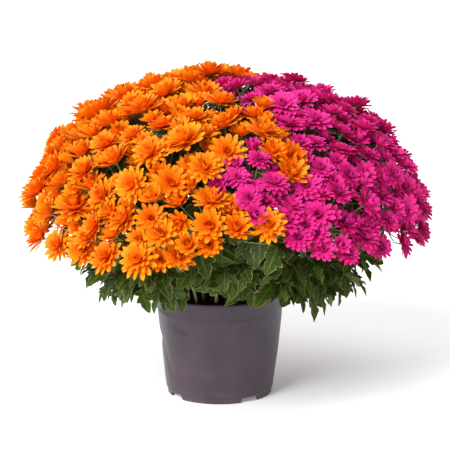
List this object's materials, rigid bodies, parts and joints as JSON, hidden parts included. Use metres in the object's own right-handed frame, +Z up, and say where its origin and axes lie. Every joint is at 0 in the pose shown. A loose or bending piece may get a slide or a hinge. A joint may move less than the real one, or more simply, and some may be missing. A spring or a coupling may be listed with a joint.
{
  "type": "pot chrysanthemum",
  "caption": "Domed pot chrysanthemum with orange blooms on one side and magenta on the other, lobed leaves below them, in a plain tapered plastic nursery pot filled with soil.",
  "frame": {"origin": "middle of the underside of the whole plant's box, on the surface that the pot stands on", "axes": "+Z up, -Y towards the front that the picture shows, +X to the right with the magenta blooms"},
  "size_m": [0.5962, 0.6046, 0.4908],
  "materials": {
    "pot_plastic": "thin dark purple-grey plastic, satin, with soft dents that catch the light",
    "potting_soil": "dark, loose, crumbly peat mix",
    "foliage": "dark green lobed leaves, paler below and along the edges, on grey-green stems",
    "orange_petals": "matt orange petals, redder at the centres and yellower at the tips",
    "magenta_petals": "matt magenta petals, darker purple at the centres and pinker at the edges"
  },
  "bodies": {
    "root": {"pot": "pot_plastic", "soil": "potting_soil", "stem_orange_01": "foliage", "stem_orange_02": "foliage", "stem_orange_03": "foliage", "stem_orange_04": "foliage", "stem_orange_05": "foliage", "stem_orange_06": "foliage", "stem_orange_07": "foliage", "stem_magenta_08": "foliage", "stem_magenta_09": "foliage", "stem_magenta_10": "foliage", "stem_magenta_11": "foliage", "stem_magenta_12": "foliage", "stem_magenta_13": "foliage", "stem_magenta_14": "foliage", "stem_magenta_15": "foliage", "stem_magenta_16": "foliage", "stem_magenta_17": "foliage", "stem_orange_18": "foliage", "stem_orange_19": "foliage", "stem_orange_20": "foliage", "stem_orange_21": "foliage", "stem_orange_22": "foliage", "stem_magenta_23": "foliage", "stem_magenta_24": "foliage", "stem_orange_25": "foliage", "stem_orange_26": "foliage", "shoot_01": "foliage", "shoot_02": "foliage", "shoot_03": "foliage", "shoot_04": "foliage", "shoot_05": "foliage", "shoot_06": "foliage", "spray_orange_01": "orange_petals", "spray_orange_02": "orange_petals", "spray_orange_03": "orange_petals", "spray_orange_04": "orange_petals", "spray_orange_05": "orange_petals", "spray_orange_06": "orange_petals", "spray_orange_07": "orange_petals", "spray_magenta_08": "magenta_petals", "spray_magenta_09": "magenta_petals", "spray_magenta_10": "magenta_petals", "spray_magenta_11": "magenta_petals", "spray_magenta_12": "magenta_petals", "spray_magenta_13": "magenta_petals", "spray_magenta_14": "magenta_petals", "spray_magenta_15": "magenta_petals", "spray_magenta_16": "magenta_petals", "spray_magenta_17": "magenta_petals", "spray_orange_18": "orange_petals", "spray_orange_19": "orange_petals", "spray_orange_20": "orange_petals", "spray_orange_21": "orange_petals", "spray_orange_22": "orange_petals", "spray_magenta_23": "magenta_petals", "spray_magenta_24": "magenta_petals", "spray_orange_25": "orange_petals", "spray_orange_26": "orange_petals"}
  },
  "joints": []
}
